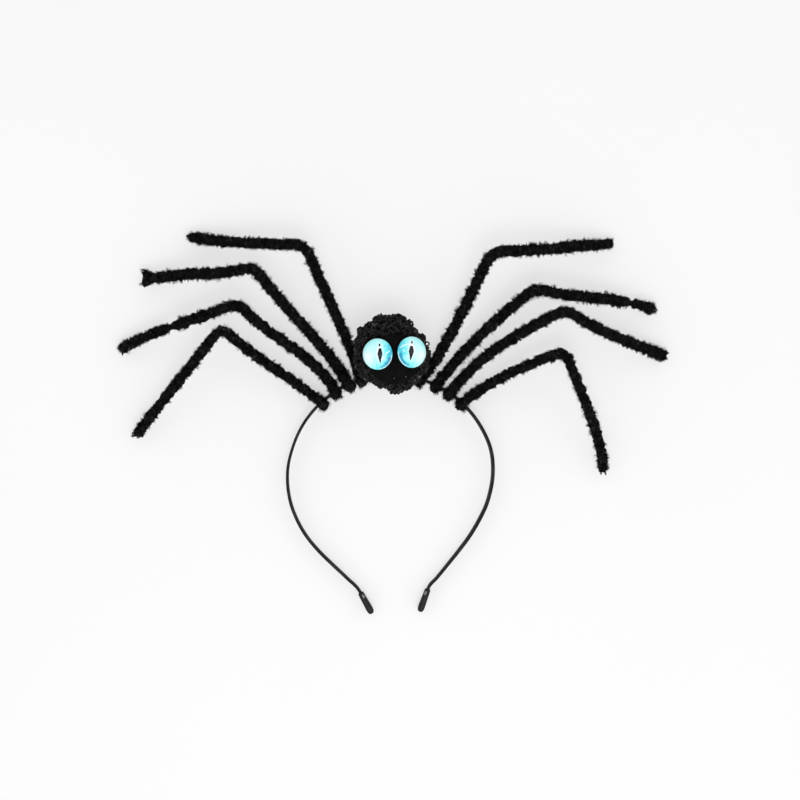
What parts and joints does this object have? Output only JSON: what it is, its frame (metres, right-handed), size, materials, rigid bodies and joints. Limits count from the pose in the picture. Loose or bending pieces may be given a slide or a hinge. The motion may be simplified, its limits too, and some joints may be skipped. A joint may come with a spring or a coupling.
{
  "type": "spider headband",
  "caption": "Black costume headband: a thin sprung band carries a curly yarn spider body with slit-pupil glass eyes and bent chenille legs.",
  "frame": {"origin": "middle of the part's box, on the surface it lies on", "axes": "+X across the head towards the picture's right, +Y from the ear ends to the crown, +Z from the back to the face"},
  "size_m": [0.3228, 0.224, 0.0457],
  "materials": {
    "black_metal": "satin black paint",
    "black_rubber": "satin black",
    "black_yarn": "curly loop yarn",
    "black_felt": "pressed felt",
    "eye_glass": "clear gloss dome over a printed iris",
    "black_chenille": "fuzzy chenille"
  },
  "bodies": {
    "root": {"headband": "black_metal", "tip_left": "black_rubber", "tip_right": "black_rubber", "pompom": "black_yarn", "face_pad": "black_felt", "eye_left": "eye_glass", "eye_right": "eye_glass", "leg_left_1": "black_chenille", "leg_left_2": "black_chenille", "leg_left_3": "black_chenille", "leg_left_4": "black_chenille", "leg_right_1": "black_chenille", "leg_right_2": "black_chenille", "leg_right_3": "black_chenille", "leg_right_4": "black_chenille"}
  },
  "joints": []
}
